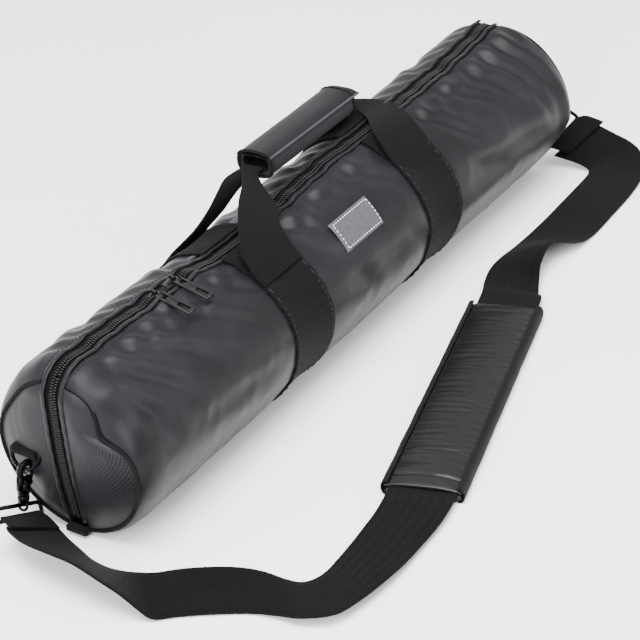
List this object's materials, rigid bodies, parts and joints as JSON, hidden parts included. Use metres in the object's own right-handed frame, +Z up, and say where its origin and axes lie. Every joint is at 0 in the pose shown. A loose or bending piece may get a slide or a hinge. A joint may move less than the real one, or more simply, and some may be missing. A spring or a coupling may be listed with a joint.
{
  "type": "telescope carry case",
  "caption": "Padded tube bag with a zip along the top and down one end, two webbing handles with a padded grip, and a shoulder strap on swivel hooks.",
  "frame": {"origin": "on the surface the bag lies on, under the middle of the tube", "axes": "+X along the tube to the far end, +Y to the back, +Z up"},
  "size_m": [0.7218, 0.2993, 0.162],
  "materials": {
    "nylon": "satin",
    "webbing": "matte",
    "foam": "matte",
    "lining": "satin",
    "zip_tape": "matte",
    "zip_nylon": "satin",
    "black_metal": "gloss",
    "steel": "satin",
    "label": "matte"
  },
  "bodies": {
    "root": {"front_panel": "nylon", "back_panel": "nylon", "base_panel": "nylon", "far_end_panel": "nylon", "near_end_back_panel": "nylon", "zip_tab_far": "nylon", "zip_tab_near": "nylon", "front_foam": "foam", "back_foam": "foam", "base_foam": "foam", "far_end_foam": "foam", "near_end_back_foam": "foam", "lining": "lining", "zip_tape_front": "zip_tape", "zip_tape_back": "zip_tape", "zip_teeth_front": "zip_nylon", "zip_teeth_back": "zip_nylon", "swivel_near": "steel", "swivel_far": "steel", "strap_loop_near": "steel", "strap_loop_far": "steel", "band_front_near": "webbing", "band_front_far": "webbing", "band_back_near": "webbing", "band_back_far": "webbing", "dring_tab_near": "webbing", "dring_tab_far": "webbing", "shoulder_strap": "webbing", "strap_end_near": "webbing", "strap_end_far": "webbing", "label_patch": "label"},
    "near_flap": {"near_end_flap": "nylon", "near_flap_foam": "foam", "flap_zip_tape": "zip_tape", "flap_zip_teeth": "zip_nylon"},
    "slider_a": {"slider_a": "black_metal"},
    "slider_b": {"slider_b": "black_metal"},
    "pull_a": {"pull_a": "black_metal"},
    "pull_b": {"pull_b": "black_metal"},
    "handle": {"handle_front": "webbing", "handle_back": "webbing", "grip_core": "foam", "grip_wrap": "nylon"},
    "grip_flap": {"grip_flap": "nylon"},
    "dring_near": {"dring_near": "steel"},
    "dring_far": {"dring_far": "steel"},
    "hook_near": {"hook_near": "black_metal"},
    "gate_near": {"gate_near": "steel"},
    "hook_far": {"hook_far": "black_metal"},
    "gate_far": {"gate_far": "steel"},
    "pad": {"pad_base": "nylon", "pad_cover": "nylon", "pad_binding": "zip_tape"}
  },
  "joints": [
    {"name": "near_flap_open", "type": "hinge", "parent": "root", "child": "near_flap", "pos_m": [-0.3051, -0.03375, 0.00754], "axis": [0, -0.866, 0.5], "range_deg": [0, 45]},
    {"name": "slider_a_slide", "type": "slide", "parent": "root", "child": "slider_a", "axis": [1, 0, 0], "range_m": [0, 0.445]},
    {"name": "slider_b_slide", "type": "slide", "parent": "root", "child": "slider_b", "axis": [-1, 0, 0], "range_m": [0, 0.09]},
    {"name": "pull_a_swing", "type": "hinge", "parent": "slider_a", "child": "pull_a", "pos_m": [-0.168, 0, 0.13663], "axis": [-1, 0, 0], "range_deg": [0, 150]},
    {"name": "pull_b_swing", "type": "hinge", "parent": "slider_b", "child": "pull_b", "pos_m": [-0.19, 0, 0.13663], "axis": [-1, 0, 0], "range_deg": [0, 150]},
    {"name": "handle_swing", "type": "hinge", "parent": "root", "child": "handle", "pos_m": [0, 0, 0.137], "axis": [1, 0, 0], "range_deg": [0, 90]},
    {"name": "grip_flap_open", "type": "hinge", "parent": "handle", "child": "grip_flap", "pos_m": [0.045, 0.0455, 0.1578], "axis": [-1, 0, 0], "range_deg": [0, 130]},
    {"name": "dring_near_swing", "type": "hinge", "parent": "root", "child": "dring_near", "pos_m": [-0.311, 0.033, 0.065], "axis": [0, 1, 0], "range_deg": [-3, 3]},
    {"name": "dring_far_swing", "type": "hinge", "parent": "root", "child": "dring_far", "pos_m": [0.311, -0.04, 0.065], "axis": [0, 1, 0], "range_deg": [-3, 3]},
    {"name": "hook_near_swivel", "type": "hinge", "parent": "root", "child": "hook_near", "pos_m": [-0.326, 0.031, 0.029], "axis": [0.3746, 0, 0.9272], "range_deg": [-15, 15]},
    {"name": "hook_far_swivel", "type": "hinge", "parent": "root", "child": "hook_far", "pos_m": [0.326, -0.04, 0.029], "axis": [-0.3746, 0, 0.9272], "range_deg": [-15, 15]},
    {"name": "gate_near_open", "type": "hinge", "parent": "hook_near", "child": "gate_near", "pos_m": [-0.31388, 0.031, 0.04244], "axis": [0, -1, 0], "range_deg": [0, 15], "stiffness_Nm_per_rad": 0.02},
    {"name": "gate_far_open", "type": "hinge", "parent": "hook_far", "child": "gate_far", "pos_m": [0.31388, -0.04, 0.04244], "axis": [0, 1, 0], "range_deg": [0, 15], "stiffness_Nm_per_rad": 0.02},
    {"name": "pad_slide", "type": "slide", "parent": "root", "child": "pad", "axis": [0.9636, 0.2672, 0], "range_m": [-0.012, 0.012]}
  ]
}
